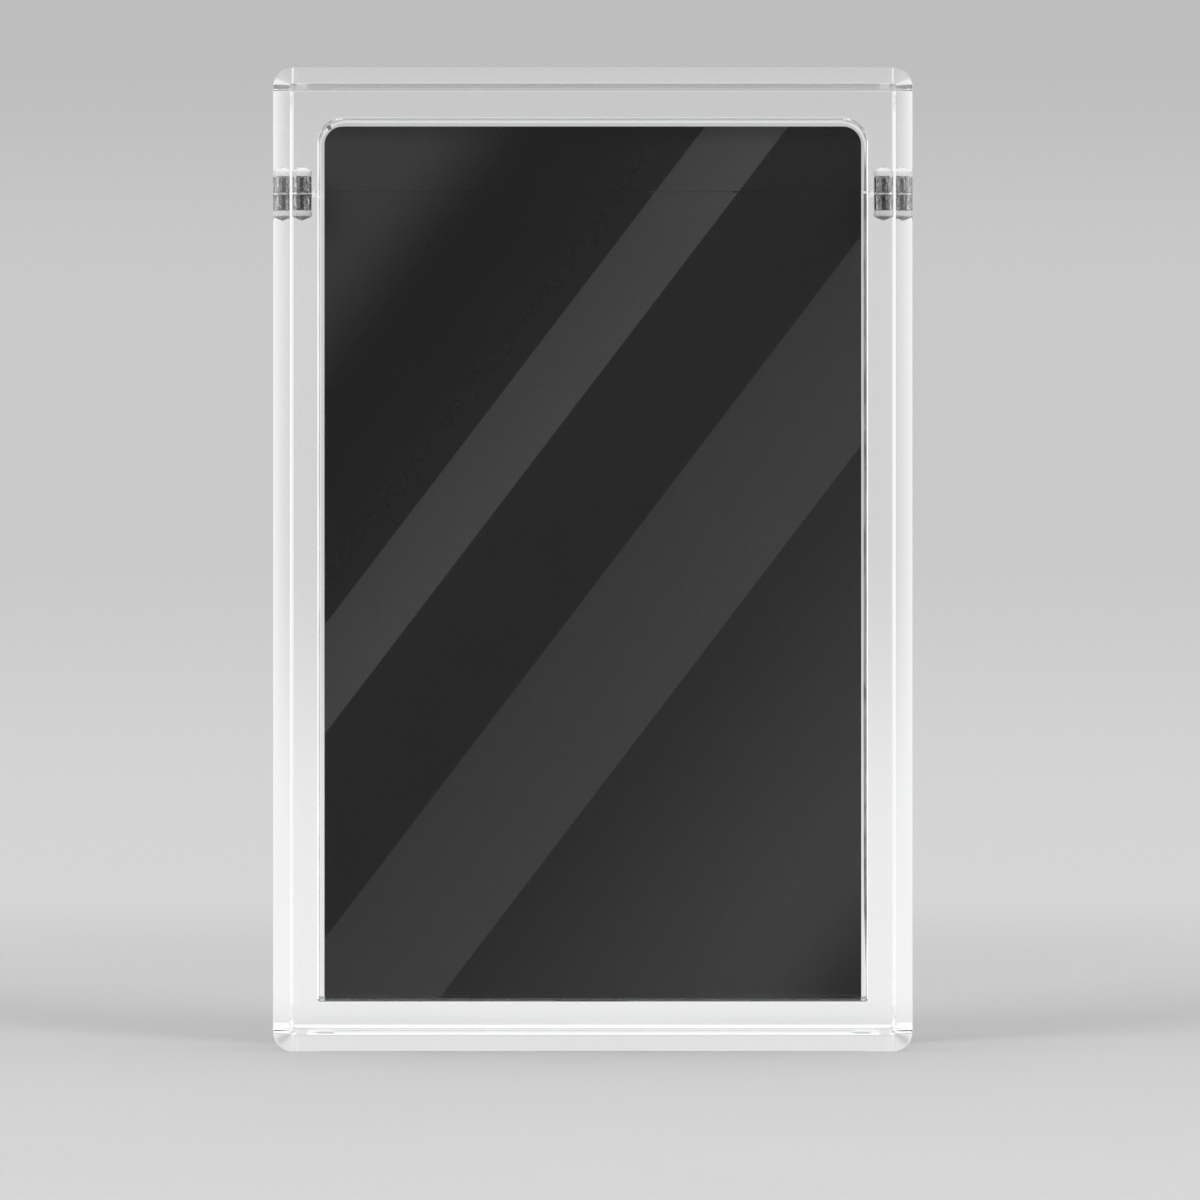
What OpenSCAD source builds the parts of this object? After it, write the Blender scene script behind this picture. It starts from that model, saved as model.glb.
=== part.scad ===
// Clear acrylic display case for one graded trading card.
// A body and a lift-off cap, each bonded from a front sheet, a middle layer and a back sheet.
// The middle layer leaves a well between the sheets, and two pairs of magnets hold the cap down.
// The front faces -Y, up is +Z, and the origin is the centre of the footprint on the table.

/* [Card well] */
// Width of the well that the card's holder stands in
well_w = 84; // [70:0.5:110]
// Height of the well, from its floor to its roof inside the cap
well_h = 135; // [110:0.5:170]
// Depth of the well, which is the thickness of the middle layer
well_d = 10; // [7:0.5:14]
// Radius of the well's two top corners
well_corner_r = 4; // [2.5:0.1:6]
// Lead-in chamfer at the mouth of the well, on both side walls of the body
mouth_chamfer = 0.5; // [0.2:0.1:0.8]

/* [Walls] */
// Width of each side wall of the middle layer
side_wall = 6.75; // [5.5:0.25:12]
// Height of the rail under the well
floor_wall = 7.5; // [5:0.5:12]
// Height of the cap's middle layer above the well
roof_wall = 7.5; // [5:0.5:10]
// Thickness of the front sheet
front_t = 6; // [5:0.5:12]
// Thickness of the back sheet
back_t = 10; // [5:0.5:12]

/* [Cap] */
// Overall height of the cap
cap_h = 19; // [17:0.5:35]

/* [Outer edges] */
// Width of the polished bevel, across the front and back faces
bevel_face = 2.6; // [1:0.1:4]
// Depth of the polished bevel, down the sides
bevel_side = 2.6; // [1:0.1:3.5]
// Corner radius of the flat face inside the bevel
face_corner_r = 0.4; // [0.2:0.1:2]

/* [Magnets] */
// Diameter of a disc magnet
magnet_d = 3; // [2:0.1:3.4]
// Thickness of a disc magnet
magnet_h = 2.5; // [1:0.1:4]
// Chamfer on both rims of a magnet
magnet_chamfer = 0.15; // [0.05:0.05:0.3]
// Distance from the side of the well to a magnet's axis
magnet_inset = 2.5; // [2.3:0.1:3]
// Depth of a magnet's outer face below the parting face
magnet_recess = 0.1; // [0.05:0.05:0.5]
// Radial clearance of a magnet in its drilled hole
magnet_clearance = 0.05; // [0.02:0.01:0.1]
// Thickness of the adhesive between a magnet and the end of its hole
adhesive_t = 0.9; // [0.3:0.1:1.5]
// Point angle of the drill that made the magnet holes
drill_point = 130; // [90:1:150]

/* [Backing sheet] */
// Thickness of the dark backing sheet
sheet_t = 1; // [0.5:0.1:2]
// Gap between the backing sheet and each side of the well
sheet_side_gap = 0.7; // [0.4:0.05:1.5]
// Gap between the backing sheet and the roof of the well
sheet_top_gap = 0.85; // [0.4:0.05:3]
// Gap between the backing sheet and the back panel
sheet_back_gap = 0.15; // [0.1:0.05:0.5]
// How much tighter than concentric with the well the backing sheet's corners are
sheet_corner_relief = 0.45; // [0:0.05:0.5]

/* [Hidden] */
$fn = 96;

// Side of the case, as seen from the front
LEFT = -1;
RIGHT = 1;

// Overall sizes follow from the well and its walls
case_w = well_w + 2 * side_wall;
case_h = floor_wall + well_h + roof_wall;
case_d = front_t + well_d + back_t;
outer_corner_r = bevel_face + face_corner_r;
straight_w = case_w - 2 * outer_corner_r;
straight_h = case_h - 2 * outer_corner_r;
parting_z = case_h - cap_h;

// The case is centred on Y = 0, so sheets of different thickness move the well off the centre
well_y = (front_t - back_t) / 2;
well_front_y = well_y - well_d / 2;
well_back_y = well_y + well_d / 2;

// A cutter runs this far past the solid that it cuts
overrun = 1;

magnet_x = well_w / 2 + magnet_inset;
bore_r = magnet_d / 2 + magnet_clearance;
bore_depth = magnet_recess + magnet_h + adhesive_t;

sheet_w = well_w - 2 * sheet_side_gap;
sheet_h = well_h - sheet_top_gap;
sheet_corner_r = well_corner_r - sheet_side_gap - sheet_corner_relief;

acrylic_tint = [0.90, 0.93, 0.94, 0.35];
adhesive_tint = [0.93, 0.93, 0.90, 0.8];
nickel_tint = [0.62, 0.62, 0.60];
sheet_tint = [0.16, 0.16, 0.16];

// Length of a drilled hole's conical end
function drill_tip(r) = r / tan(drill_point / 2);

// Section through one edge of a layer t thick, from inside the layer out to the edge
function edge_section(t, bevelled) =
    bevelled
        ? [[0, 0], [outer_corner_r, 0], [outer_corner_r, t - bevel_side],
           [outer_corner_r - bevel_face, t], [0, t]]
        : [[0, 0], [outer_corner_r, 0], [outer_corner_r, t], [0, t]];

// Section through a whole layer from its bottom edge to its top edge
function band_section(t, bevelled) =
    bevelled
        ? [[0, 0], [case_h, 0], [case_h, t - bevel_side],
           [case_h - bevel_face, t], [bevel_face, t], [0, t - bevel_side]]
        : [[0, 0], [case_h, 0], [case_h, t], [0, t]];

// One layer of the whole case lying flat: local X is its width and local Y its height, and an outer
// sheet is bevelled round its face at local Z = t. A centre band, side strips and corners make it up.
module flat_layer(t, bevelled) {
    translate([-straight_w / 2, 0, 0])
        rotate([90, 0, 90])
            linear_extrude(straight_w)
                polygon(band_section(t, bevelled));
    for (side = [LEFT, RIGHT])
        mirror([side == LEFT ? 1 : 0, 0, 0])
            translate([straight_w / 2, case_h - outer_corner_r, 0]) {
                rotate([90, 0, 0])
                    linear_extrude(straight_h)
                        polygon(edge_section(t, bevelled));
                layer_corner(t, bevelled);
                translate([0, -straight_h, 0])
                    rotate([0, 0, -90])
                        layer_corner(t, bevelled);
            }
}

// Quarter-round corner of a layer, with its bevel as part of a cone
module layer_corner(t, bevelled) {
    rotate_extrude(angle = 90)
        polygon(edge_section(t, bevelled));
}

// Front sheet of the whole case, standing in front of the middle layer
module front_sheet() {
    translate([0, well_front_y, 0])
        rotate([90, 0, 0])
            flat_layer(front_t, true);
}

// Back sheet of the whole case
module back_sheet() {
    mirror([0, 1, 0])
        translate([0, -well_back_y, 0])
            rotate([90, 0, 0])
                flat_layer(back_t, true);
}

// Middle layer of the whole case, before the well is cut out of it
module middle_layer() {
    translate([0, well_back_y, 0])
        rotate([90, 0, 0])
            flat_layer(well_d, false);
}

// Everything between two heights
module height_band(low, high) {
    translate([-case_w / 2 - overrun, -case_d / 2 - overrun, low])
        cube([case_w + 2 * overrun, case_d + 2 * overrun, high - low]);
}

// Keeps what lies in the body
module body_part() {
    intersection() {
        children();
        height_band(-overrun, parting_z);
    }
}

// Keeps what lies in the cap
module cap_part() {
    intersection() {
        children();
        height_band(parting_z, case_h + overrun);
    }
}

// Upright plate that stands on the floor of the well, with two rounded top corners, centred on X
// and running from Y = 0 towards +Y
module arched_plate(w, h, t, r) {
    translate([-w / 2, 0, floor_wall])
        cube([w, t, h - r]);
    translate([-w / 2 + r, 0, floor_wall + h - r])
        cube([w - 2 * r, t, r]);
    for (side = [LEFT, RIGHT])
        translate([side * (w / 2 - r), 0, floor_wall + h - r])
            mirror([side == LEFT ? 1 : 0, 0, 0])
                translate([0, t, 0])
                    rotate([90, 0, 0])
                        rotate_extrude(angle = 90)
                            square([r, t]);
}

// Lead-in at the mouth of the well: a wedge that widens upwards between the side walls
module mouth_wedge() {
    tall = mouth_chamfer + overrun;
    translate([0, case_d / 2, parting_z - mouth_chamfer])
        rotate([90, 0, 0])
            linear_extrude(case_d)
                polygon([
                    [-well_w / 2, 0], [well_w / 2, 0],
                    [well_w / 2 + tall, tall], [-well_w / 2 - tall, tall]
                ]);
}

// Puts a shape made for the body's parting face at one side of the case
module at_body_magnet(side) {
    translate([side * magnet_x, well_y, parting_z])
        mirror([0, 0, 1])
            children();
}

// The same for the cap, where the hole runs upwards
module at_cap_magnet(side) {
    translate([side * magnet_x, well_y, parting_z])
        children();
}

// Blind drilled hole that opens at the parting face
module magnet_bore() {
    translate([0, 0, -overrun])
        cylinder(h = bore_depth + overrun, r = bore_r);
    translate([0, 0, bore_depth])
        cylinder(h = drill_tip(bore_r), r1 = bore_r, r2 = 0);
}

// Disc magnet with chamfered rims, just below the parting face
module magnet() {
    r = magnet_d / 2;
    c = magnet_chamfer;
    translate([0, 0, magnet_recess])
        rotate_extrude()
            polygon([
                [0, 0], [r - c, 0], [r, c],
                [r, magnet_h - c], [r - c, magnet_h], [0, magnet_h]
            ]);
}

// Set adhesive between a magnet and the end of its hole
module adhesive() {
    r = magnet_d / 2;
    translate([0, 0, magnet_recess + magnet_h])
        rotate_extrude()
            polygon([
                [0, 0], [r, 0], [r, adhesive_t], [0, adhesive_t + drill_tip(r)]
            ]);
}

module body_front_panel() {
    color(acrylic_tint)
        body_part() front_sheet();
}

module body_back_panel() {
    color(acrylic_tint)
        body_part() back_sheet();
}

// Side wall of the well: the middle layer beside the well, from the bottom rail to the parting face
module side_rail(side) {
    color(acrylic_tint)
        difference() {
            intersection() {
                middle_layer();
                height_band(floor_wall, parting_z);
                translate([side == LEFT ? -case_w : well_w / 2, -case_d / 2, 0])
                    cube([case_w - well_w / 2, case_d, case_h]);
            }
            at_body_magnet(side) magnet_bore();
            mouth_wedge();
        }
}

module body_left_rail() {
    side_rail(LEFT);
}

module body_right_rail() {
    side_rail(RIGHT);
}

// Floor of the well, across the full width of the case
module body_bottom_rail() {
    color(acrylic_tint)
        intersection() {
            middle_layer();
            height_band(-overrun, floor_wall);
        }
}

module cap_front_panel() {
    color(acrylic_tint)
        cap_part() front_sheet();
}

module cap_back_panel() {
    color(acrylic_tint)
        cap_part() back_sheet();
}

// Middle layer of the cap: an arch over the top of the well, drilled from below for two magnets
module cap_spacer() {
    color(acrylic_tint)
        difference() {
            cap_part() middle_layer();
            translate([0, well_front_y - overrun, 0])
                arched_plate(well_w, well_h, well_d + 2 * overrun, well_corner_r);
            for (side = [LEFT, RIGHT])
                at_cap_magnet(side) magnet_bore();
        }
}

module body_left_magnet() {
    color(nickel_tint) at_body_magnet(LEFT) magnet();
}

module body_right_magnet() {
    color(nickel_tint) at_body_magnet(RIGHT) magnet();
}

module cap_left_magnet() {
    color(nickel_tint) at_cap_magnet(LEFT) magnet();
}

module cap_right_magnet() {
    color(nickel_tint) at_cap_magnet(RIGHT) magnet();
}

module body_left_adhesive() {
    color(adhesive_tint) at_body_magnet(LEFT) adhesive();
}

module body_right_adhesive() {
    color(adhesive_tint) at_body_magnet(RIGHT) adhesive();
}

module cap_left_adhesive() {
    color(adhesive_tint) at_cap_magnet(LEFT) adhesive();
}

module cap_right_adhesive() {
    color(adhesive_tint) at_cap_magnet(RIGHT) adhesive();
}

// Dark sheet that stands on the floor of the well, just in front of the back panel
module backing_sheet() {
    color(sheet_tint)
        translate([0, well_back_y - sheet_back_gap - sheet_t, 0])
            arched_plate(sheet_w, sheet_h, sheet_t, sheet_corner_r);
}

body_front_panel();
body_back_panel();
body_left_rail();
body_right_rail();
body_bottom_rail();
body_left_magnet();
body_right_magnet();
body_left_adhesive();
body_right_adhesive();
cap_front_panel();
cap_back_panel();
cap_spacer();
cap_left_magnet();
cap_right_magnet();
cap_left_adhesive();
cap_right_adhesive();
backing_sheet();
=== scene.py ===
"""Looks of a clear acrylic display case for a graded card.

Two clear shells stand for the bonded acrylic of the body and of the cap. The magnets, the adhesive
in their drilled holes, the dark backing sheet, the bubbles, thin dark strips of painted shade along
the well's right wall and a small dark fleck are pieces of their own.
"""

import math
import random

import bmesh
import bpy
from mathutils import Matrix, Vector


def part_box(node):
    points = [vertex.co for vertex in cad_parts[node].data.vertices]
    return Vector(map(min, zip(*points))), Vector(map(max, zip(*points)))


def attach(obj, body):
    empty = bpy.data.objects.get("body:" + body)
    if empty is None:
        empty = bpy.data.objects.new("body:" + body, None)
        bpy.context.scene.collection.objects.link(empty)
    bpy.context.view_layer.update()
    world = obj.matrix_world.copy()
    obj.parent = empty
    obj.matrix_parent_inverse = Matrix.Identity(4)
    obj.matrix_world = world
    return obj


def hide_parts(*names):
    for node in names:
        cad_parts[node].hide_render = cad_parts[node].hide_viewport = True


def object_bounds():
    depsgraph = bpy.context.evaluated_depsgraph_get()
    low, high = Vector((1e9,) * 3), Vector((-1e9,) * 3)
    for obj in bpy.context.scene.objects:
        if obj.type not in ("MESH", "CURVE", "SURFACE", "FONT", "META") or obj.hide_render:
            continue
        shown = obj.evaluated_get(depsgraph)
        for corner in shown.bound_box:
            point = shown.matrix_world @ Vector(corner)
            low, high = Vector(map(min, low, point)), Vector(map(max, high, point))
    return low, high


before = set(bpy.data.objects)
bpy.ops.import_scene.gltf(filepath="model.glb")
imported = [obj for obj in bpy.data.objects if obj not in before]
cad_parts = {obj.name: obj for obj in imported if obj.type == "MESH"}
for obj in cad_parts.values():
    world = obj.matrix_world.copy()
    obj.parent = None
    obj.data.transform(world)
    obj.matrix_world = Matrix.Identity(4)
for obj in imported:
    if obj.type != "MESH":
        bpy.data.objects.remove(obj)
cad_low, cad_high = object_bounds()

# Places that come from the frame
CASE_W = cad_high.x - cad_low.x
CASE_D = cad_high.y - cad_low.y
CASE_H = cad_high.z
PARTING_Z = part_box("cap_spacer")[0].z
WELL_FRONT_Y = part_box("body_front_panel")[1].y
WELL_BACK_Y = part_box("body_back_panel")[0].y
WELL_FLOOR_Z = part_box("body_bottom_rail")[1].z
WELL_HALF_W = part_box("body_right_rail")[0].x

# The acrylic's edges, in metres. The flat front and back start FACE_MARGIN inside the bevel.
BEVEL = 0.0026
BEVEL_BULGE = 0.00006
FACE_CORNER_R = 0.0004
FACE_MARGIN = 0.6 * FACE_CORNER_R
FACE_EDGE_R = 0.00022
OUTER_EDGE_R = 0.0005
PARTING_INSET = 0.0000005

# The well, in metres: its roof and corners, the lead-in at its mouth and the cement in its edges
WELL_ROOF_Z = 0.1425
WELL_CORNER_R = 0.004
WELL_FOOT_R = 0.00035
MOUTH_CHAMFER = 0.0005
CEMENT = 0.00014
ROOF_CEMENT = 0.00003
MENISCUS_R = 0.00045

# The drilled holes, in metres. Their cutters stand out past the parting face by BORE_PAST.
BORE_R = 0.00146
BORE_DEPTH = 0.0035
BORE_PAST = 0.0005
DRILL_POINT = math.radians(130)

# The magnets and the adhesive, in metres. PLUG_FACE is how far the adhesive's face stands off its
# magnet at the middle and at the rim. Its tip is blunt: each point is a share of the radius and one
# of the drill point's height.
MAGNET_RIM_R = 0.00015
PLUG_R = 0.00153
PLUG_FACE = (0.00004, 0.00002)
PLUG_TIP = ((0.3, 0.68), (0, 0.78))
PLUG_ROUNDING = (0.00006, 0.0003, 0.0004)

# The backing sheet's broken edges and its top and bottom corners, in metres. A broken edge is
# round, and its middle stands in from both faces by SHEET_BREAK_MIDDLE.
SHEET_BREAK = 0.00012
SHEET_BREAK_MIDDLE = SHEET_BREAK * 0.3
SHEET_CORNER_R = 0.00285
SHEET_FOOT_R = 0.0003

# Air bubbles in the cement round the well's top corners: how far they lie outside the corner's arc
# and off the joint, and their radii, in metres; how much each is stretched; and the two arcs, in
# degrees
BUBBLE_OUT = (0.00012, 0.00060)
BUBBLE_OFF = 0.00012
BUBBLE_R = (0.00003, 0.00009)
BUBBLE_STRETCH = (0.9, 1.1)
BUBBLE_SEED = 7
BUBBLES_EACH = 34
BUBBLE_ARC_LEFT = (92, 176)
BUBBLE_ARC_RIGHT = (4, 88)

# The acrylic: its tint, how it bends light, and the tint of the light that falls through it
ACRYLIC_TINT = (0.985, 0.990, 0.990)
ACRYLIC_IOR = 1.49
ACRYLIC_SHADOW = (0.97, 0.975, 0.975)

# Colours of the metal, the adhesive and the sheet's cut edge
NICKEL_BRIGHT = (0.93, 0.92, 0.90)
NICKEL_DARK = (0.68, 0.67, 0.66)
NICKEL_WORN = (0.36, 0.36, 0.36)
ADHESIVE_CLEAR = (0.99, 0.99, 0.98)
ADHESIVE_DULL = (0.92, 0.92, 0.91)
EDGE_DARK = (0.02, 0.02, 0.02)
EDGE_LIGHT = (0.09, 0.09, 0.09)

# Thin dark grey strips on the back of the front sheet along the well's right wall, which are
# painted
# shade, and a small dark fleck: greys, thickness, and outlines in x and z
MARKS_DARK = (0.17, 0.17, 0.17)
MARKS_LIGHT = (0.34, 0.34, 0.34)
SLIVER_T = 0.00004
BODY_SHADE_STRIP = (
    (0.04165, 0.0126), (0.04180, 0.0190), (0.04174, 0.0500), (0.04178, 0.0900), (0.04176, 0.1308),
    (0.04131, 0.1308), (0.04134, 0.0900), (0.04131, 0.0500), (0.04137, 0.0230),
)
CAP_SHADE_STRIP = (
    (0.04172, 0.1312), (0.04168, 0.1345), (0.04152, 0.1378), (0.04144, 0.1345), (0.04136, 0.1312),
)
CAP_DARK_FLECK = ((-0.04067, 0.14103), (-0.04007, 0.14132), (-0.03979, 0.14062), (-0.04026, 0.14046))

# The backing sheet's greys. Each run is two places across the slope, x - BAND_SLOPE * z in metres,
# and what it adds to the grey there: soft painted sheens, two sharp bands of painted reflection,
# and the painted rise of that reflection that starts at the second band's edge. The last line is a
# painted shade under the well's roof: two heights in metres and the factors there.
BAND_SLOPE = 0.763
SHEET_DARK = 0.0102
PAINTED_SHEENS = (
    (-0.134, -0.115, 0.0315, 0.0), (-0.114, -0.080, 0.0, 0.0068), (0.018, 0.036, 0.0, -0.0313),
)
PAINTED_GLARE_BANDS = ((-0.0908, -0.0780, 0.0325, 0.0423), (-0.0540, -0.0294, 0.0233, 0.0363))
PAINTED_GLARE_RISE = (-0.0294, 0.012, 0.0063, 0.0363)
SHEET_TOP_SHADE = (0.1385, 0.1416, 1.0, 0.65)

# The photograph's view, in metres and pixels
PICTURE_PX = 1200
PX_PER_M = 6575
AXIS_X = 0.0011
AXIS_Z = 0.0688
CAMERA_DISTANCE = 1.15
SENSOR_MM = 36.0

# The stage, in metres: a flat floor, a cove and a wall, and where the lit floor fades into the
# backdrop
FLOOR_R = 2.0
COVE_R = 1.2
WALL_H = 3.2
STAGE_SIDES = 128
COVE_STEPS = 24
FLOOR_FADE = (0.12, 0.6)
FLOOR_FADE_THROUGH = (0.03, 0.18)

# The floor's two greys and the grain between them
FLOOR_PALE_A = (0.80, 0.80, 0.80)
FLOOR_PALE_B = (0.86, 0.86, 0.86)
FLOOR_GRAIN = 9
FLOOR_GRAIN_DETAIL = 6

# The backdrop's greys from the floor up, and the heights between which each turns into the next.
# The lower heights count RISE_OUTWARDS of the distance from the case as well, so the far floor is
# greyer than the near one.
BACKDROP_LOW = (0.97, 0.97, 0.97)
BACKDROP_MID = (0.695, 0.695, 0.695)
BACKDROP_HIGH = (0.61, 0.61, 0.61)
BACKDROP_UPPER = (0.83, 0.83, 0.83)
LOW_RISE = (-0.05, 0.16)
HIGH_RISE = (0.28, 0.42)
UPPER_RISE = (0.6, 1.3)
RISE_OUTWARDS = 0.02

# The floor and backdrop are darker beside the case than through it, by the first share low down and
# by the second above LOW_RISE, so that the case stands out. Through the case they are as dark in
# steep views, up to DIM_FACING, and near the case, up to DIM_END.
DIRECT_DIM = (0.30, 0.16)
DIM_FACING = (0.80, 0.92)
DIM_END = (1.0, 1.8)

# A sheen on the floor behind and in front of the case, which level views show through it. It fades
# out between two distances from the case's middle plane, in metres.
SHEEN = (1.05, 1.05, 1.05)
SHEEN_END = (0.0704, 0.0718)
SHEEN_FACING = (0.90, 0.93)

# What the case shows and mirrors: pale panels behind at both sides, a darker floor where it is seen
# steeply, which is painted shade of the case on the floor, a dark cloth in front, side lamps and a
# bright ceiling. The panels', cloth's and lamps' edges are x or -y as shares of the distance from
# the case. FLOOR_STEEP_END is such a distance and CLOTH_TOP a height, in metres.
PANEL_GLOW = (0.96, 0.96, 0.96)
PANEL_EDGE = (0.33, 0.46)
PANEL_END = (0.62, 0.80)
STEEP_END = 0.88
FLOOR_STEEP_END = (0.5, 1.5)
FLOOR_PAINTED_SHADE = (0.42, 0.42, 0.42)
CLOTH = (0.08, 0.08, 0.08)
CLOTH_EDGE = (0.72, 0.85)
CLOTH_TOP = (1.5, 2.2)
SIDE_GLOW = (1.3, 1.3, 1.3)
SIDE_EDGE = (0.975, 0.992)
CEILING_GLOW = 1.6
FILL = 0.4

# Soft square lamps: name, place in metres, size in metres and power in watts. All face the case's
# middle.
LAMP_TARGET = (0, 0, 0.075)
LAMPS = (
    ("overhead lamp", (0, 0.2, 1.6), 1.2, 4.5),
    ("left lamp", (-1.5, -0.1, 0.6), 1.0, 6),
    ("right lamp", (1.5, -0.1, 0.6), 1.0, 6),
    ("front left lamp", (-1.1, -1.1, 0.9), 0.7, 12),
    ("front right lamp", (1.1, -1.1, 0.9), 0.7, 12),
)

# Mesh material numbers of a shell, and of the backing sheet
ON_POLISHED, ON_MACHINED, ON_EDGES = 0, 1, 2
ON_SHEET_FACE, ON_SHEET_EDGE = 0, 1

# How far a face's normal has to point along y, or on the well's side walls along x and not y, to
# get the material of a flat face
FLAT_Y = 0.99
SIDE_WALL_X, SIDE_WALL_Y = 0.5, 0.02
SHEET_FACE_Y = 0.8

# Lengths too small to count, in metres: off the axis of a turned piece, off a cutting plane, from
# the case in its middle, and off the floor
ON_AXIS = 1e-9
ON_CUT = 1e-7
NO_RADIUS = 0.0001
ON_FLOOR = 0.001


def new_object(name, bm, materials=()):
    """Links a finished bmesh as a mesh object."""
    mesh = bpy.data.meshes.new(name)
    bm.normal_update()
    bm.to_mesh(mesh)
    bm.free()
    for material in materials:
        mesh.materials.append(material)
    obj = bpy.data.objects.new(name, mesh)
    bpy.context.scene.collection.objects.link(obj)
    return obj


def filleted(points, radii, steps=5):
    """A polyline whose inner corners are replaced by arcs, each of its own radius."""
    out = [Vector(points[0])]
    for before, corner, after, radius in zip(points, points[1:], points[2:], radii):
        corner = Vector(corner)
        if not radius:
            out.append(corner)
            continue
        a, b = (Vector(before) - corner).normalized(), (Vector(after) - corner).normalized()
        half = a.angle(b) / 2
        tangent = radius / math.tan(half)
        centre = corner + (a + b).normalized() * (radius / math.sin(half))
        start = corner + a * tangent - centre
        sweep = (math.pi - 2 * half) * (1 if a.cross(b) < 0 else -1)
        for i in range(steps + 1):
            turn = sweep * i / steps
            out.append(centre + Vector((
                start.x * math.cos(turn) - start.y * math.sin(turn),
                start.x * math.sin(turn) + start.y * math.cos(turn),
            )))
    out.append(Vector(points[-1]))
    return out


def bulged(start, end, rise, steps=8):
    """The points of a shallow arc from start to end, both left out, which rises to the right of
    that way."""
    start, end = Vector(start), Vector(end)
    way = end - start
    side = Vector((way.y, -way.x)).normalized()
    shares = [i / steps for i in range(1, steps)]
    return [start + way * t + side * (4 * rise * t * (1 - t)) for t in shares]


def rounded_outline(x0, x1, z0, z1, radii, per_corner, per_side):
    """Points of a rectangle with round corners, anticlockwise from the bottom right corner.
    radii are those of the bottom right, top right, top left and bottom left corners."""
    corners = [(x1, z0, -1, 1, -90), (x1, z1, -1, -1, 0), (x0, z1, 1, -1, 90), (x0, z0, 1, 1, 180)]
    arcs = []
    for (x, z, sx, sz, start), r in zip(corners, radii):
        centre = Vector((x + sx * r, z + sz * r))
        arc = []
        for i in range(per_corner + 1):
            angle = math.radians(start + 90 * i / per_corner)
            arc.append(centre + r * Vector((math.cos(angle), math.sin(angle))))
        arcs.append(arc)
    points = []
    for i, arc in enumerate(arcs):
        points += arc
        following = arcs[(i + 1) % 4][0]
        for k in range(1, per_side):
            points.append(arc[-1].lerp(following, k / per_side))
    return points


def loft(bm, loops):
    """Joins closed loops with the same number of points, and closes both ends."""
    rings = [[bm.verts.new(p) for p in loop] for loop in loops]
    n = len(rings[0])
    for one, two in zip(rings, rings[1:]):
        for i in range(n):
            j = (i + 1) % n
            bm.faces.new((one[i], one[j], two[j], two[i]))
    bm.faces.new(reversed(rings[0]))
    bm.faces.new(rings[-1])


def turned(bm, profile, centre, flip, segments=48, material=0):
    """Revolves (radius, height) points, the first and last on the axis, about a vertical axis at
    centre. flip turns the heights downwards."""
    way = -1 if flip else 1
    rings = []
    for r, h in profile:
        z = centre.z + way * h
        if r < ON_AXIS:
            rings.append([bm.verts.new((centre.x, centre.y, z))])
        else:
            angles = [2 * math.pi * i / segments for i in range(segments)]
            rings.append([
                bm.verts.new((centre.x + r * math.cos(a), centre.y + r * math.sin(a), z))
                for a in angles
            ])
    for one, two in zip(rings, rings[1:]):
        for i in range(segments):
            j = (i + 1) % segments
            if len(one) == 1:
                corners = (one[0], two[i], two[j])
            elif len(two) == 1:
                corners = (one[i], two[0], one[j])
            else:
                corners = (one[i], two[i], two[j], one[j])
            face = bm.faces.new(corners)
            face.material_index = material
    bmesh.ops.recalc_face_normals(bm, faces=bm.faces)


def case_solid(low, high):
    """The outside of the case between two heights, as one closed solid."""
    half_d = CASE_D / 2
    outer_r = BEVEL + FACE_CORNER_R
    inner = BEVEL + FACE_MARGIN
    front = bulged((BEVEL, -half_d), (0, -half_d + BEVEL), -BEVEL_BULGE)
    back = bulged((0, half_d - BEVEL), (BEVEL, half_d), -BEVEL_BULGE)
    section = filleted(
        [
            (inner, -half_d), (BEVEL, -half_d), *front, (0, -half_d + BEVEL),
            (0, half_d - BEVEL), *back, (BEVEL, half_d), (inner, half_d),
        ],
        [FACE_EDGE_R, *[0] * len(front), OUTER_EDGE_R, OUTER_EDGE_R, *[0] * len(back), FACE_EDGE_R],
    )
    loops = []
    for inset, y in section:
        outline = rounded_outline(
            -CASE_W / 2 + inset, CASE_W / 2 - inset, inset, CASE_H - inset,
            [outer_r - inset] * 4, per_corner=14, per_side=24,
        )
        loops.append([(x, y, z) for x, z in outline])
    bm = bmesh.new()
    loft(bm, loops)
    for height, outer in ((low, False), (high, True)):
        if 0 < height < CASE_H:
            everything = bm.verts[:] + bm.edges[:] + bm.faces[:]
            cut = bmesh.ops.bisect_plane(
                bm, geom=everything, dist=ON_CUT, plane_co=(0, 0, height), plane_no=(0, 0, 1),
                clear_outer=outer, clear_inner=not outer,
            )
            edges = [e for e in cut["geom_cut"] if isinstance(e, bmesh.types.BMEdge)]
            bmesh.ops.contextual_create(bm, geom=edges)
    bmesh.ops.recalc_face_normals(bm, faces=bm.faces)
    bm.normal_update()
    for face in bm.faces:
        face.material_index = ON_POLISHED if abs(face.normal.y) > FLAT_Y else ON_EDGES
    return bm


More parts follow.
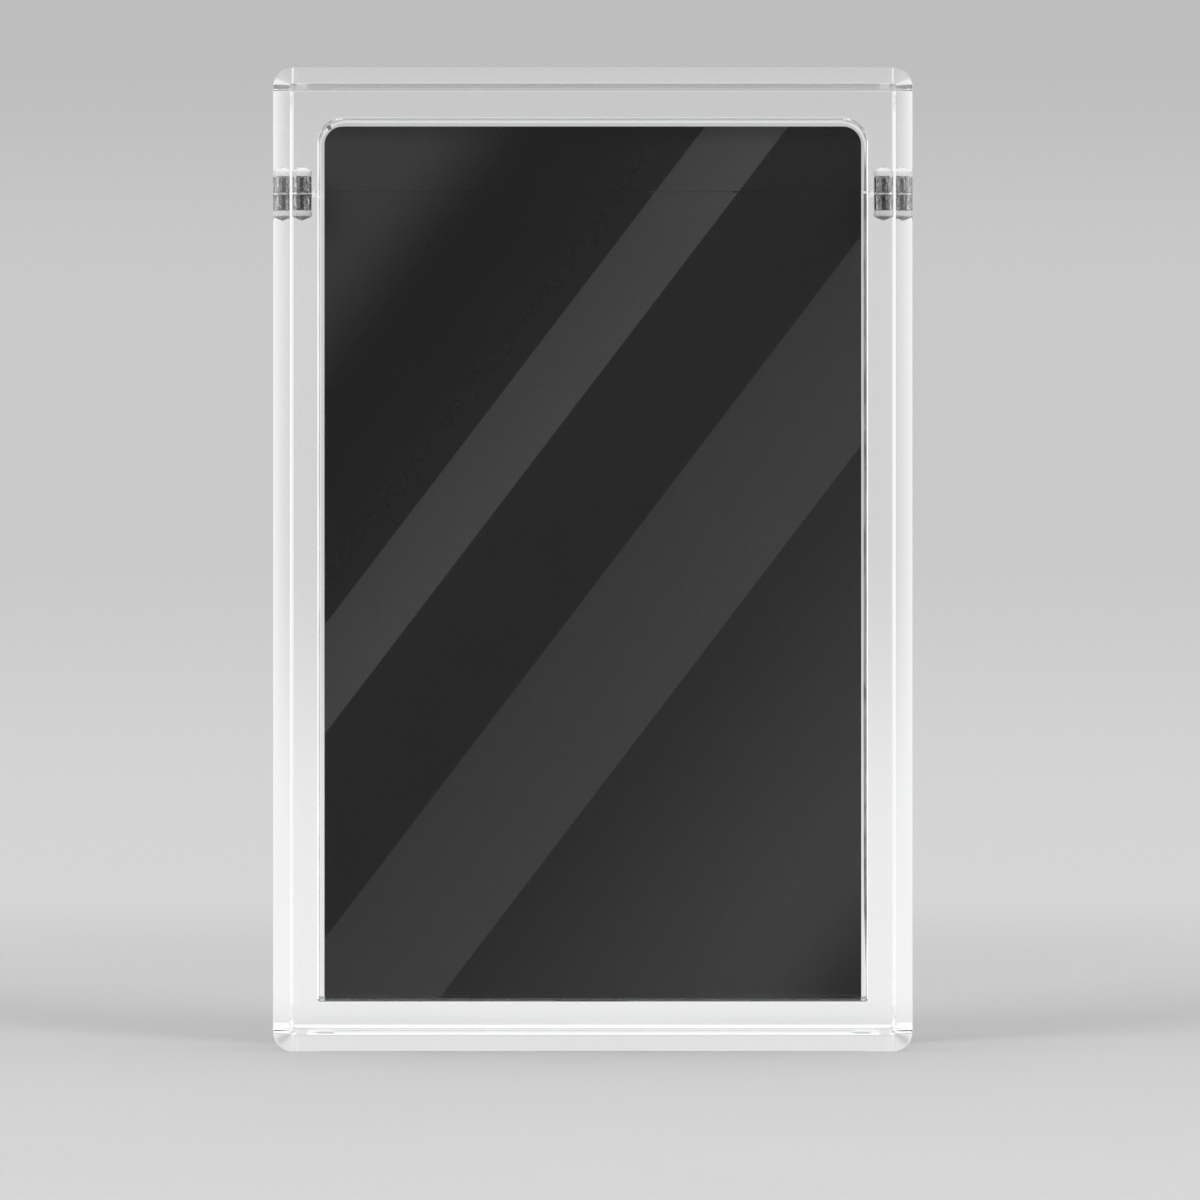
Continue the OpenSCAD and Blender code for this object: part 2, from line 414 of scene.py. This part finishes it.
def well_cutter():
    """The well's hollow. Cement fills its edges: thinly along the front, and in a round fillet
    along the back, apart from the floor, where the backing sheet stands. A ring is y and how far
    the cement stands in there at the sides, the floor and the roof."""
    rings = [(WELL_FRONT_Y, CEMENT, CEMENT, ROOF_CEMENT), (WELL_FRONT_Y + CEMENT, 0, 0, 0)]
    steps = 8
    for i in range(steps + 1):
        a = math.radians(90 * i / steps)
        inset = MENISCUS_R * (1 - math.cos(a))
        y = WELL_BACK_Y - MENISCUS_R + MENISCUS_R * math.sin(a)
        rings.append((y, inset, max(0, y - WELL_BACK_Y + CEMENT), inset))
    loops = []
    for y, side, floor, roof in rings:
        outline = rounded_outline(
            -WELL_HALF_W + side, WELL_HALF_W - side, WELL_FLOOR_Z + floor, WELL_ROOF_Z - roof,
            [WELL_FOOT_R, WELL_CORNER_R - side, WELL_CORNER_R - side, WELL_FOOT_R],
            per_corner=16, per_side=1,
        )
        loops.append([(x, y, z) for x, z in outline])
    bm = bmesh.new()
    loft(bm, loops)
    bmesh.ops.recalc_face_normals(bm, faces=bm.faces)
    bm.normal_update()
    for face in bm.faces:
        side_wall = abs(face.normal.x) > SIDE_WALL_X and abs(face.normal.y) < SIDE_WALL_Y
        face.material_index = ON_MACHINED if side_wall else ON_POLISHED
    return bm


def mouth_cutter():
    """The lead-in on both side walls at the well's mouth: a wedge between the sheets."""
    bm = bmesh.new()
    loops = []
    for out, z in ((0, PARTING_Z - MOUTH_CHAMFER), (2 * MOUTH_CHAMFER, PARTING_Z + MOUTH_CHAMFER)):
        x, y0, y1 = WELL_HALF_W + out, WELL_FRONT_Y + CEMENT, WELL_BACK_Y - MENISCUS_R
        loops.append([(-x, y0, z), (x, y0, z), (x, y1, z), (-x, y1, z)])
    loft(bm, loops)
    bmesh.ops.recalc_face_normals(bm, faces=bm.faces)
    return bm


def bore_cutter(side, flip):
    """One drilled hole, open at the parting face."""
    low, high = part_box("cap_left_magnet" if side < 0 else "cap_right_magnet")
    centre = Vector(((low.x + high.x) / 2, (low.y + high.y) / 2, PARTING_Z))
    tip = BORE_R / math.tan(DRILL_POINT / 2)
    profile = [(0, -BORE_PAST), (BORE_R, -BORE_PAST), (BORE_R, BORE_DEPTH), (0, BORE_DEPTH + tip)]
    bm = bmesh.new()
    turned(bm, profile, centre, flip, material=ON_MACHINED)
    return bm


def carve(obj, cutters):
    """Cuts closed meshes out of obj, keeping their material numbers."""
    for bm in cutters:
        cutter = new_object("cutter", bm)
        modifier = obj.modifiers.new("cut", "BOOLEAN")
        modifier.operation = "DIFFERENCE"
        modifier.solver = "EXACT"
        modifier.object = cutter
        bake_modifiers(obj)
        bpy.data.objects.remove(cutter)


def bake_modifiers(obj):
    """Applies every modifier of obj."""
    bpy.context.view_layer.update()
    depsgraph = bpy.context.evaluated_depsgraph_get()
    mesh = bpy.data.meshes.new_from_object(obj.evaluated_get(depsgraph))
    old = obj.data
    obj.modifiers.clear()
    obj.data = mesh
    bpy.data.meshes.remove(old)


def smooth_arcs(obj, angle=14):
    """Shades arcs smooth and keeps flat faces flat. Edges sharper than angle, in degrees, stay
    sharp."""
    obj.data.polygons.foreach_set("use_smooth", [True] * len(obj.data.polygons))
    obj.data.set_sharp_from_angle(angle=math.radians(angle))
    modifier = obj.modifiers.new("flat faces", "WEIGHTED_NORMAL")
    modifier.weight = 50
    modifier.keep_sharp = True
    bake_modifiers(obj)


def nodes_of(name):
    """A new material, with its node tree and its Principled node."""
    material = bpy.data.materials.new(name)
    material.use_nodes = True
    tree = material.node_tree
    return material, tree, tree.nodes["Principled BSDF"]


def number(tree, operation, *inputs):
    """Adds a Math node whose inputs are sockets or numbers, and gives its output."""
    node = tree.nodes.new("ShaderNodeMath")
    node.operation = operation
    for socket, value in zip(node.inputs, inputs):
        if isinstance(value, bpy.types.NodeSocket):
            tree.links.new(value, socket)
        else:
            socket.default_value = value
    return node.outputs[0]


def ramp(tree, value, low, high, start=0.0, end=1.0, way="SMOOTHSTEP"):
    """Adds a Map Range node that runs from start to end while value runs from low to high."""
    node = tree.nodes.new("ShaderNodeMapRange")
    node.interpolation_type = way
    tree.links.new(value, node.inputs["Value"])
    node.inputs["From Min"].default_value = low
    node.inputs["From Max"].default_value = high
    node.inputs["To Min"].default_value = start
    node.inputs["To Max"].default_value = end
    return node.outputs[0]


def blend(tree, factor, a, b):
    """Mixes two colours, each a socket or three numbers."""
    node = tree.nodes.new("ShaderNodeMix")
    node.data_type = "RGBA"
    tree.links.new(factor, node.inputs["Factor"])
    for name, value in (("A", a), ("B", b)):
        socket = [s for s in node.inputs if s.name == name and s.type == "RGBA"][0]
        if isinstance(value, bpy.types.NodeSocket):
            tree.links.new(value, socket)
        else:
            socket.default_value = (*value, 1)
    return [s for s in node.outputs if s.type == "RGBA"][0]


def noise(tree, scale, stretch=(1, 1, 1), detail=4.0):
    """Adds a noise texture of scale grains a metre in the object's own coordinates, and gives its
    value."""
    place = tree.nodes.new("ShaderNodeTexCoord")
    mapping = tree.nodes.new("ShaderNodeMapping")
    mapping.inputs["Scale"].default_value = stretch
    tree.links.new(place.outputs["Object"], mapping.inputs["Vector"])
    texture = tree.nodes.new("ShaderNodeTexNoise")
    texture.inputs["Scale"].default_value = scale
    texture.inputs["Detail"].default_value = detail
    tree.links.new(mapping.outputs[0], texture.inputs["Vector"])
    return [out for out in texture.outputs if out.type == "VALUE"][0]


def bumped(tree, shader, height, distance):
    """Bumps a shader by a height between 0 and 1, scaled to distance in metres."""
    bump = tree.nodes.new("ShaderNodeBump")
    bump.inputs["Strength"].default_value = 1
    bump.inputs["Distance"].default_value = distance
    tree.links.new(height, bump.inputs["Height"])
    tree.links.new(bump.outputs[0], shader.inputs["Normal"])


def clear_acrylic(name, ripple_mm, ripple_height, roughness_low, roughness_high, stretch=(1, 1, 1)):
    """Clear acrylic that lets the lamps' light through to what is behind it. Its surface ripples
    slightly, with ripples about ripple_mm wide and ripple_height metres high, and its polish varies
    from place to place."""
    material, tree, shader = nodes_of(name)
    shader.inputs["Base Color"].default_value = (*ACRYLIC_TINT, 1)
    shader.inputs["Transmission Weight"].default_value = 1
    shader.inputs["IOR"].default_value = ACRYLIC_IOR
    patches = noise(tree, scale=160)
    polish = ramp(tree, patches, low=0.35, high=0.75, start=roughness_low, end=roughness_high)
    tree.links.new(polish, shader.inputs["Roughness"])
    ripples = noise(tree, 1000 / ripple_mm, stretch)
    bumped(tree, shader, ripples, ripple_height)
    path = tree.nodes.new("ShaderNodeLightPath")
    clear = tree.nodes.new("ShaderNodeBsdfTransparent")
    clear.inputs["Color"].default_value = (*ACRYLIC_SHADOW, 1)
    mix = tree.nodes.new("ShaderNodeMixShader")
    tree.links.new(path.outputs["Is Shadow Ray"], mix.inputs[0])
    tree.links.new(shader.outputs[0], mix.inputs[1])
    tree.links.new(clear.outputs[0], mix.inputs[2])
    tree.links.new(mix.outputs[0], tree.nodes["Material Output"].inputs["Surface"])
    return material


def nickel():
    """Nickel plate with grain, dull patches and upright scratches."""
    material, tree, shader = nodes_of("nickel plate")
    shader.inputs["Metallic"].default_value = 1
    patches = noise(tree, scale=1400)
    streaks = noise(tree, scale=5200, stretch=(1, 1, 0.22), detail=6.0)
    colour = blend(tree, ramp(tree, patches, low=0.35, high=0.68), NICKEL_DARK, NICKEL_BRIGHT)
    colour = blend(tree, ramp(tree, streaks, low=0.42, high=0.66), NICKEL_WORN, colour)
    tree.links.new(colour, shader.inputs["Base Color"])
    dullness = ramp(tree, patches, low=0.3, high=0.7, start=0.34, end=0.18)
    tree.links.new(dullness, shader.inputs["Roughness"])
    bumped(tree, shader, streaks, distance=0.000016)
    return material


def adhesive():
    """Set adhesive, milky and a little cloudy."""
    material, tree, shader = nodes_of("set adhesive")
    clouds = noise(tree, scale=1800, detail=6.0)
    tree.links.new(blend(tree, clouds, ADHESIVE_DULL, ADHESIVE_CLEAR), shader.inputs["Base Color"])
    shader.inputs["Roughness"].default_value = 0.4
    shader.inputs["IOR"].default_value = 1.3
    shader.inputs["Transmission Weight"].default_value = 0.3
    bumped(tree, shader, clouds, distance=0.00003)
    return material


def between(tree, value, low, high):
    """1 where value is between two limits, and 0 elsewhere."""
    above = number(tree, "GREATER_THAN", value, low)
    return number(tree, "MULTIPLY", above, number(tree, "LESS_THAN", value, high))


def dark_sheet():
    """Dark gloss with painted reflections: two lighter diagonal bands, a soft painted sheen in two
    corners and a painted rise after the bands. All of them follow one slope, so each is a run of
    lightness over the distance across that slope. Under the well's roof a painted shade darkens it."""
    material, tree, shader = nodes_of("backing face")
    new, link = tree.nodes.new, tree.links.new
    place = new("ShaderNodeTexCoord")
    split = new("ShaderNodeSeparateXYZ")
    link(place.outputs["Object"], split.inputs[0])
    x, _, z = split.outputs
    across = number(tree, "MULTIPLY_ADD", z, -BAND_SLOPE, x)
    total = SHEET_DARK
    # Painted sheens: soft lighter runs that stand in for reflections
    for low, high, start, end in PAINTED_SHEENS:
        total = number(tree, "ADD", total, ramp(tree, across, low, high, start, end))
    # Painted reflections: the two sharp glare bands
    for low, high, start, end in PAINTED_GLARE_BANDS:
        lit = ramp(tree, across, low, high, start, end, "LINEAR")
        total = number(tree, "MULTIPLY_ADD", lit, between(tree, across, low, high), total)
    # Painted reflection: the lighter rise after the second band
    low, high, start, end = PAINTED_GLARE_RISE
    lit = ramp(tree, across, low, high, start, end, "LINEAR")
    total = number(tree, "MULTIPLY_ADD", lit, number(tree, "GREATER_THAN", across, low), total)
    # Painted shade under the well's roof
    total = number(tree, "MULTIPLY", total, ramp(tree, z, *SHEET_TOP_SHADE))
    grain = ramp(tree, noise(tree, scale=2500), low=0.2, high=0.8, start=0.94, end=1.06)
    total = number(tree, "MULTIPLY", total, grain)
    grey = new("ShaderNodeCombineColor")
    for socket in grey.inputs:
        link(total, socket)
    link(grey.outputs[0], shader.inputs["Base Color"])
    polish = ramp(tree, noise(tree, scale=90), low=0.3, high=0.7, start=0.05, end=0.10)
    link(polish, shader.inputs["Roughness"])
    bumped(tree, shader, noise(tree, scale=120), distance=0.000002)
    return material


def dark_marks_grey():
    """Dull mottled dark grey: the strips of painted shade along the well's right wall, and a fleck.
    """
    material, tree, shader = nodes_of("dark marks grey")
    mottle = noise(tree, scale=1500, stretch=(1, 1, 0.15))
    colour = blend(tree, ramp(tree, mottle, low=0.35, high=0.65), MARKS_DARK, MARKS_LIGHT)
    tree.links.new(colour, shader.inputs["Base Color"])
    shader.inputs["Roughness"].default_value = 0.6
    shader.inputs["Specular IOR Level"].default_value = 0.2
    bumped(tree, shader, mottle, distance=0.00001)
    return material


def sheet_edge():
    """The sheet's cut edge, duller and a little lighter than its face, with fine saw marks."""
    material, tree, shader = nodes_of("backing edge")
    marks = noise(tree, scale=6000, stretch=(1, 0.05, 1))
    tree.links.new(blend(tree, marks, EDGE_DARK, EDGE_LIGHT), shader.inputs["Base Color"])
    shader.inputs["Roughness"].default_value = 0.45
    bumped(tree, shader, marks, distance=0.00001)
    return material


def shell(name, low, high, cutters, nodes, body):
    """One bonded block of acrylic, which stands for the CAD nodes it is bonded from."""
    obj = new_object(name, case_solid(low, high), [POLISHED, MACHINED, EDGES])
    carve(obj, cutters)
    smooth_arcs(obj)
    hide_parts(*nodes)
    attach(obj, body)


def seat(node, way):
    """The box of a magnet or its adhesive, and the centre of the round face that is nearer the
    parting."""
    low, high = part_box(node)
    near_z = low.z if way > 0 else high.z
    return low, high, Vector(((low.x + high.x) / 2, (low.y + high.y) / 2, near_z))


def magnet(node, body, way):
    """A plated disc with rounded rims. way is 1 if its drilled hole runs upwards."""
    low, high, centre = seat(node, way)
    r, h = (high.x - low.x) / 2, high.z - low.z
    profile = filleted([(0, 0), (r, 0), (r, h), (0, h)], [MAGNET_RIM_R, MAGNET_RIM_R])
    bm = bmesh.new()
    turned(bm, profile, centre, way < 0, segments=64)
    obj = new_object(node + "_plated", bm, [NICKEL])
    smooth_arcs(obj, 30)
    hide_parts(node)
    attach(obj, body)


def plug(node, body, way):
    """Set adhesive that fills the drilled hole's end and wets its wall. way is as for its
    magnet."""
    low, high, centre = seat(node, way)
    rise = PLUG_R / math.tan(DRILL_POINT / 2)
    wall = high.z - low.z - rise
    middle, rim = PLUG_FACE
    tip = [(out * PLUG_R, wall + up * rise) for out, up in PLUG_TIP]
    profile = filleted([(0, middle), (PLUG_R, rim), (PLUG_R, wall), *tip], PLUG_ROUNDING)
    bm = bmesh.new()
    turned(bm, profile, centre, way < 0, segments=64)
    obj = new_object(node + "_set", bm, [ADHESIVE])
    smooth_arcs(obj, 30)
    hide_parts(node)
    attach(obj, body)


def backing():
    """The dark sheet, with broken edges and its two round top corners."""
    low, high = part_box("backing_sheet")
    near, far = SHEET_BREAK_MIDDLE, SHEET_BREAK
    loops = []
    for y, inset in (
        (low.y, far), (low.y + near, near), (low.y + far, 0),
        (high.y - far, 0), (high.y - near, near), (high.y, far),
    ):
        outline = rounded_outline(
            low.x + inset, high.x - inset, low.z + inset, high.z - inset,
            [SHEET_FOOT_R, SHEET_CORNER_R - inset, SHEET_CORNER_R - inset, SHEET_FOOT_R],
            per_corner=20, per_side=1,
        )
        loops.append([(x, y, z) for x, z in outline])
    bm = bmesh.new()
    loft(bm, loops)
    bmesh.ops.recalc_face_normals(bm, faces=bm.faces)
    bm.normal_update()
    for face in bm.faces:
        flat = abs(face.normal.y) > SHEET_FACE_Y
        face.material_index = ON_SHEET_FACE if flat else ON_SHEET_EDGE
    obj = new_object("backing_dressed", bm, [SHEET_FACE, SHEET_EDGE])
    smooth_arcs(obj, 40)
    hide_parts("backing_sheet")
    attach(obj, "backing")


def bubbles(name, body):
    """Tiny air bubbles in the cement round the well's top corners. Their faces look inwards,
    because a bubble is a hollow in the clear block."""
    draw = random.Random(BUBBLE_SEED)
    bm = bmesh.new()
    corner_x, z = WELL_HALF_W - WELL_CORNER_R, WELL_ROOF_Z - WELL_CORNER_R
    for x, arc in ((-corner_x, BUBBLE_ARC_LEFT), (corner_x, BUBBLE_ARC_RIGHT)):
        for _ in range(BUBBLES_EACH):
            angle = math.radians(draw.uniform(*arc))
            out = WELL_CORNER_R + draw.uniform(*BUBBLE_OUT)
            y = draw.choice((WELL_FRONT_Y, WELL_BACK_Y)) + draw.uniform(-BUBBLE_OFF, BUBBLE_OFF)
            place = Vector((x + out * math.cos(angle), y, z + out * math.sin(angle)))
            made = bmesh.ops.create_icosphere(bm, subdivisions=2, radius=draw.uniform(*BUBBLE_R))
            for vert in made["verts"]:
                stretched = vert.co.z * draw.uniform(*BUBBLE_STRETCH)
                vert.co = Vector((vert.co.x, vert.co.y, stretched)) + place
    bmesh.ops.reverse_faces(bm, faces=bm.faces)
    obj = new_object(name, bm, [POLISHED])
    for face in obj.data.polygons:
        face.use_smooth = True
    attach(obj, body)


def dark_sliver(name, body, outline):
    """A thin dark grey sliver inside the front sheet's back face, from its outline as seen from the
    front."""
    depths = (WELL_FRONT_Y - 2 * SLIVER_T, WELL_FRONT_Y - SLIVER_T)
    loops = [[(x, y, z) for x, z in outline] for y in depths]
    bm = bmesh.new()
    loft(bm, loops)
    bmesh.ops.recalc_face_normals(bm, faces=bm.faces)
    obj = new_object(name, bm, [DARK_MARKS])
    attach(obj, body)


def softbox(name, place, size, power):
    """A soft square lamp that faces the case, and that the case doesn't mirror."""
    light = bpy.data.lights.new(name, "AREA")
    light.size = size
    light.energy = power
    obj = bpy.data.objects.new(name, light)
    obj.location = place
    obj.rotation_mode = "QUATERNION"
    obj.rotation_quaternion = (Vector(LAMP_TARGET) - Vector(place)).to_track_quat("-Z", "Y")
    obj.visible_camera = False
    obj.visible_glossy = False
    obj.visible_transmission = False
    bpy.context.scene.collection.objects.link(obj)


def seen_factor(tree, path):
    """1 for rays that look at the stage, straight or by way of the case, and 0 for the light it
    gives."""
    seen = number(tree, "MAXIMUM", path.outputs["Is Camera Ray"], path.outputs["Is Glossy Ray"])
    return number(tree, "MAXIMUM", seen, path.outputs["Is Transmission Ray"])


def pale_surroundings():
    """A pale backdrop. Near the case it is a plain lit floor, which keeps the shadow. Reflections
    see it dark in front of the case and bright at both sides, like a photographer's black cloth and
    lamps."""
    material, tree, shader = nodes_of("surroundings")
    new, link = tree.nodes.new, tree.links.new
    shader.inputs["Roughness"].default_value = 1
    shader.inputs["Specular IOR Level"].default_value = 0
    path = new("ShaderNodeLightPath")
    place = new("ShaderNodeTexCoord")
    split = new("ShaderNodeSeparateXYZ")
    link(place.outputs["Object"], split.inputs[0])
    x, y, z = split.outputs
    radius = number(tree, "MULTIPLY_ADD", x, x, number(tree, "MULTIPLY", y, y))
    radius = number(tree, "MAXIMUM", number(tree, "SQRT", radius), NO_RADIUS)
    ahead = number(tree, "DIVIDE", number(tree, "MULTIPLY", y, -1.0), radius)
    aside = number(tree, "DIVIDE", number(tree, "ABSOLUTE", x), radius)
    reflected = number(tree, "GREATER_THAN", path.outputs["Glossy Depth"], 0.5)
    cloth = number(tree, "MULTIPLY", ramp(tree, ahead, *CLOTH_EDGE), reflected)
    cloth = number(tree, "MULTIPLY", cloth, ramp(tree, z, *CLOTH_TOP, 1.0, 0.0))
    lamps = number(tree, "MULTIPLY", ramp(tree, aside, *SIDE_EDGE), reflected)

    slant_node = new("ShaderNodeLayerWeight")
    slant_node.inputs["Blend"].default_value = 0.5
    slant = slant_node.outputs["Facing"]
    glossy, transmitted = path.outputs["Is Glossy Ray"], path.outputs["Is Transmission Ray"]
    through = number(tree, "MAXIMUM", glossy, transmitted)
    # Painted shade of the case on the floor, where the case shows or mirrors it steeply
    steep = number(tree, "MULTIPLY", through, ramp(tree, slant, 0.0, STEEP_END, 1.0, 0.0, "LINEAR"))
    steep = number(tree, "MULTIPLY", steep, ramp(tree, radius, *FLOOR_STEEP_END, 1.0, 0.0))
    rise = number(tree, "MULTIPLY_ADD", radius, RISE_OUTWARDS, z)
    dim = number(tree, "MULTIPLY", ramp(tree, slant, *DIM_FACING, 1.0, 0.0), through)
    dim = number(tree, "MULTIPLY", dim, ramp(tree, radius, *DIM_END, 1.0, 0.0))
    dim = number(tree, "MAXIMUM", dim, path.outputs["Is Camera Ray"])
    dim = number(tree, "MULTIPLY", dim, ramp(tree, rise, *LOW_RISE, *DIRECT_DIM))
    sheen = number(tree, "MULTIPLY", through, ramp(tree, slant, *SHEEN_FACING))
    off = number(tree, "ABSOLUTE", y)
    sheen = number(tree, "MULTIPLY", sheen, ramp(tree, off, *SHEEN_END, 1.0, 0.0))
    sheen = number(tree, "MULTIPLY", sheen, ramp(tree, z, 0.0, ON_FLOOR, 1.0, 0.0))

    grain = noise(tree, FLOOR_GRAIN, detail=FLOOR_GRAIN_DETAIL)
    floor = blend(tree, grain, FLOOR_PALE_A, FLOOR_PALE_B)
    # Painted shade where the floor is seen steeply through the case
    floor = blend(tree, steep, floor, FLOOR_PAINTED_SHADE)
    floor = blend(tree, cloth, floor, CLOTH)
    link(blend(tree, dim, floor, (0, 0, 0)), shader.inputs["Base Color"])

    wall = blend(tree, ramp(tree, rise, *LOW_RISE), BACKDROP_LOW, BACKDROP_MID)
    wall = blend(tree, ramp(tree, rise, *HIGH_RISE), wall, BACKDROP_HIGH)
    wall = blend(tree, ramp(tree, z, *UPPER_RISE), wall, BACKDROP_UPPER)
    # The same painted shade on what the case shows of the backdrop
    wall = blend(tree, steep, wall, FLOOR_PAINTED_SHADE)
    panels = number(tree, "MULTIPLY", ramp(tree, aside, *PANEL_EDGE), through)
    panels = number(tree, "MULTIPLY", panels, ramp(tree, aside, *PANEL_END, 1.0, 0.0))
    wall = blend(tree, panels, wall, PANEL_GLOW)
    wall = blend(tree, sheen, wall, SHEEN)
    wall = blend(tree, lamps, wall, SIDE_GLOW)
    wall = blend(tree, cloth, wall, CLOTH)
    wall = blend(tree, dim, wall, (0, 0, 0))
    glow = new("ShaderNodeEmission")
    link(wall, glow.inputs["Color"])
    fade = number(tree, "MULTIPLY", through, ramp(tree, radius, *FLOOR_FADE_THROUGH))
    fade = number(tree, "MAXIMUM", fade, sheen)
    fade = number(tree, "MAXIMUM", fade, ramp(tree, radius, *FLOOR_FADE))
    factor = number(tree, "MULTIPLY", seen_factor(tree, path), fade)
    mix = new("ShaderNodeMixShader")
    link(factor, mix.inputs[0])
    link(shader.outputs[0], mix.inputs[1])
    link(glow.outputs[0], mix.inputs[2])
    link(mix.outputs[0], tree.nodes["Material Output"].inputs["Surface"])
    return material


def stage():
    """A round pale floor that curves up into a pale wall all round."""
    profile = [(FLOOR_R, 0)]
    for i in range(1, COVE_STEPS + 1):
        a = math.radians(90 * i / COVE_STEPS)
        profile.append((FLOOR_R + COVE_R * math.sin(a), COVE_R - COVE_R * math.cos(a)))
    profile.append((FLOOR_R + COVE_R, WALL_H))
    bm = bmesh.new()
    angles = [2 * math.pi * i / STAGE_SIDES for i in range(STAGE_SIDES)]
    ways = [(math.cos(a), math.sin(a)) for a in angles]
    rings = [[bm.verts.new((r * x, r * y, z)) for x, y in ways] for r, z in profile]
    bm.faces.new(rings[0])
    for one, two in zip(rings, rings[1:]):
        for i in range(STAGE_SIDES):
            j = (i + 1) % STAGE_SIDES
            bm.faces.new((one[i], one[j], two[j], two[i]))
    obj = new_object("floor", bm, [pale_surroundings()])
    for face in obj.data.polygons[1:]:
        face.use_smooth = True


def sky():
    """The world above the wall: a soft fill for surfaces, and a bright ceiling for what the case
    mirrors."""
    world = bpy.data.worlds.new("world")
    world.use_nodes = True
    tree = world.node_tree
    path = tree.nodes.new("ShaderNodeLightPath")
    background = tree.nodes["Background"]
    background.inputs["Color"].default_value = (1, 1, 1, 1)
    seen = seen_factor(tree, path)
    strength = number(tree, "MULTIPLY_ADD", seen, CEILING_GLOW - FILL, FILL)
    tree.links.new(strength, background.inputs["Strength"])
    bpy.context.scene.world = world


def camera():
    """The photograph's camera: straight on, from CAMERA_DISTANCE in front of the case."""
    data = bpy.data.cameras.new("camera")
    data.sensor_width = SENSOR_MM
    data.lens = SENSOR_MM * CAMERA_DISTANCE * PX_PER_M / PICTURE_PX
    data.clip_start, data.clip_end = 0.05, 20
    obj = bpy.data.objects.new("camera", data)
    obj.location = (AXIS_X, -CASE_D / 2 - CAMERA_DISTANCE, AXIS_Z)
    obj.rotation_euler = (math.radians(90), 0, 0)
    bpy.context.scene.collection.objects.link(obj)
    bpy.context.scene.camera = obj


POLISHED = clear_acrylic(
    "polished acrylic", ripple_mm=3.0, ripple_height=0.0000012,
    roughness_low=0.0, roughness_high=0.006,
)
EDGES = clear_acrylic(
    "polished edges", ripple_mm=0.7, ripple_height=0.0000010,
    roughness_low=0.0, roughness_high=0.03,
)
MACHINED = clear_acrylic(
    "machined acrylic", ripple_mm=0.25, ripple_height=0.000004,
    roughness_low=0.10, roughness_high=0.22, stretch=(1, 0.15, 1),
)
NICKEL, ADHESIVE = nickel(), adhesive()
SHEET_FACE, SHEET_EDGE, DARK_MARKS = dark_sheet(), sheet_edge(), dark_marks_grey()

camera()
stage()
sky()

shell(
    "body_shell", 0, PARTING_Z - PARTING_INSET,
    [well_cutter(), mouth_cutter(), bore_cutter(-1, True), bore_cutter(1, True)],
    [
        "body_front_panel", "body_back_panel",
        "body_left_rail", "body_right_rail", "body_bottom_rail",
    ],
    "case_body",
)
shell(
    "cap_shell", PARTING_Z + PARTING_INSET, CASE_H,
    [well_cutter(), bore_cutter(-1, False), bore_cutter(1, False)],
    ["cap_front_panel", "cap_back_panel", "cap_spacer"],
    "cap",
)

for part_name, part_body, hole_way in (("body", "case_body", -1), ("cap", "cap", 1)):
    for side_name in ("left", "right"):
        magnet(f"{part_name}_{side_name}_magnet", part_body, hole_way)
        plug(f"{part_name}_{side_name}_adhesive", part_body, hole_way)
backing()
bubbles("cap_cement_bubbles", "cap")
# Painted shade: dark grey strips along the well's right wall, in the body and in the cap
dark_sliver("body_painted_shade_strip", "case_body", BODY_SHADE_STRIP)
dark_sliver("cap_painted_shade_strip", "cap", CAP_SHADE_STRIP)
dark_sliver("cap_dark_fleck", "cap", CAP_DARK_FLECK)

for lamp in LAMPS:
    softbox(*lamp)

scene = bpy.context.scene
scene.view_settings.view_transform = "Standard"
scene.cycles.max_bounces = 32
scene.cycles.transmission_bounces = 32
scene.cycles.glossy_bounces = 16
